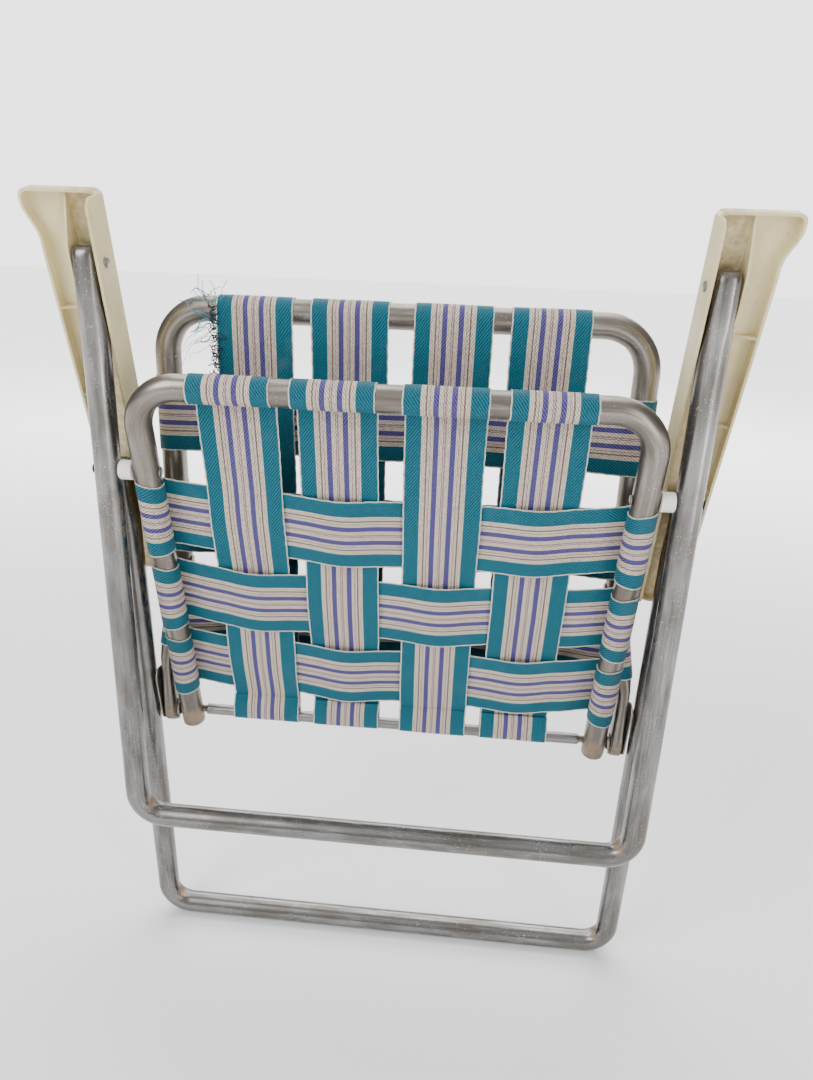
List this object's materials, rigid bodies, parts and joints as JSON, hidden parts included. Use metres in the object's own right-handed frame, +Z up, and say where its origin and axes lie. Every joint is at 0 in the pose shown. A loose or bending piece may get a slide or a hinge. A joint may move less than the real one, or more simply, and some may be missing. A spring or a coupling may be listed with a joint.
{
  "type": "folding lawn chair",
  "caption": "Folding outdoor chair, folded: bent aluminium tube frames, woven webbing seat and back, moulded arms, front and rear leg frames joined by links.",
  "frame": {"origin": "centre of the bounding box at its bottom, under the rear foot bar of the folded chair", "axes": "+X across the chair (the sitter's left when the chair is open), +Y from the front legs towards the rear legs, +Z up along the front legs"},
  "size_m": [0.6584, 0.1337, 0.8709],
  "materials": {
    "tube": "dull scratched aluminium tube",
    "arm": "aged ivory moulded plastic",
    "rivet": "dull aluminium",
    "nylon": "white nylon",
    "rod": "bright drawn rod",
    "strap": "woven striped plastic webbing"
  },
  "bodies": {
    "front_legs": {"front_leg_frame": "tube"},
    "seat": {"left_rod_cap": "rivet", "left_rod_washer": "rivet", "left_seat_rivet": "rivet", "left_seat_spacer": "nylon", "rear_cross_rod": "rod", "right_rod_cap": "rivet", "right_rod_washer": "rivet", "right_seat_rivet": "rivet", "right_seat_spacer": "nylon", "seat_cross_strap_1": "strap", "seat_cross_strap_2": "strap", "seat_cross_strap_3": "strap", "seat_frame": "tube", "seat_long_strap_1": "strap", "seat_long_strap_2": "strap", "seat_long_strap_3": "strap", "seat_long_strap_4": "strap"},
    "left_arm": {"left_arm": "arm", "left_arm_front_rivet": "rivet", "left_arm_rear_rivet": "rivet", "left_back_spacer": "nylon", "left_leg_rivet": "rivet", "left_leg_spacer": "nylon"},
    "right_arm": {"right_arm": "arm", "right_arm_front_rivet": "rivet", "right_arm_rear_rivet": "rivet", "right_back_spacer": "nylon", "right_leg_rivet": "rivet", "right_leg_spacer": "nylon"},
    "back": {"back_cross_strap_1": "strap", "back_cross_strap_2": "strap", "back_cross_strap_3": "strap", "back_frame": "tube", "back_long_strap_1": "strap", "back_long_strap_2": "strap", "back_long_strap_3": "strap", "back_long_strap_4": "strap"},
    "rear_legs": {"left_link_rivet_tail": "rivet", "rear_leg_frame": "tube", "right_link_rivet_tail": "rivet"},
    "left_link": {"left_link_plate": "tube", "left_link_rivet_head": "rivet"},
    "right_link": {"right_link_plate": "tube", "right_link_rivet_head": "rivet"}
  },
  "joints": [
    {"name": "seat_fold", "type": "hinge", "parent": "front_legs", "child": "seat", "pos_m": [0, -0.03183, 0.62127], "axis": [1, 0, 0], "range_deg": [0, 88]},
    {"name": "left_arm_fold", "type": "hinge", "parent": "front_legs", "child": "left_arm", "pos_m": [0, -0.03183, 0.81027], "axis": [1, 0, 0], "range_deg": [0, 88]},
    {"name": "right_arm_fold", "type": "hinge", "parent": "front_legs", "child": "right_arm", "pos_m": [0, -0.03183, 0.81027], "axis": [1, 0, 0], "range_deg": [0, 88]},
    {"name": "back_fold", "type": "hinge", "parent": "seat", "child": "back", "pos_m": [0, 0.04498, 0.3132], "axis": [1, 0, 0], "range_deg": [-88, 0]},
    {"name": "rear_leg_fold", "type": "hinge", "parent": "left_arm", "child": "rear_legs", "pos_m": [0, 0.01898, 0.6065], "axis": [1, 0, 0], "range_deg": [-60.36, 0]},
    {"name": "left_link_fold", "type": "hinge", "parent": "seat", "child": "left_link", "pos_m": [0, 0.04498, 0.3132], "axis": [1, 0, 0], "range_deg": [0, 102.82]},
    {"name": "right_link_fold", "type": "hinge", "parent": "seat", "child": "right_link", "pos_m": [0, 0.04498, 0.3132], "axis": [1, 0, 0], "range_deg": [0, 102.82]}
  ],
  "couplings": [
    {"joint": "left_arm_fold", "follows": "seat_fold", "ratio": 1},
    {"joint": "right_arm_fold", "follows": "seat_fold", "ratio": 1},
    {"joint": "back_fold", "follows": "seat_fold", "ratio": -1},
    {"joint": "rear_leg_fold", "follows": "seat_fold", "ratio": -0.68579},
    {"joint": "left_link_fold", "follows": "seat_fold", "ratio": 1.1683},
    {"joint": "right_link_fold", "follows": "seat_fold", "ratio": 1.1683}
  ]
}
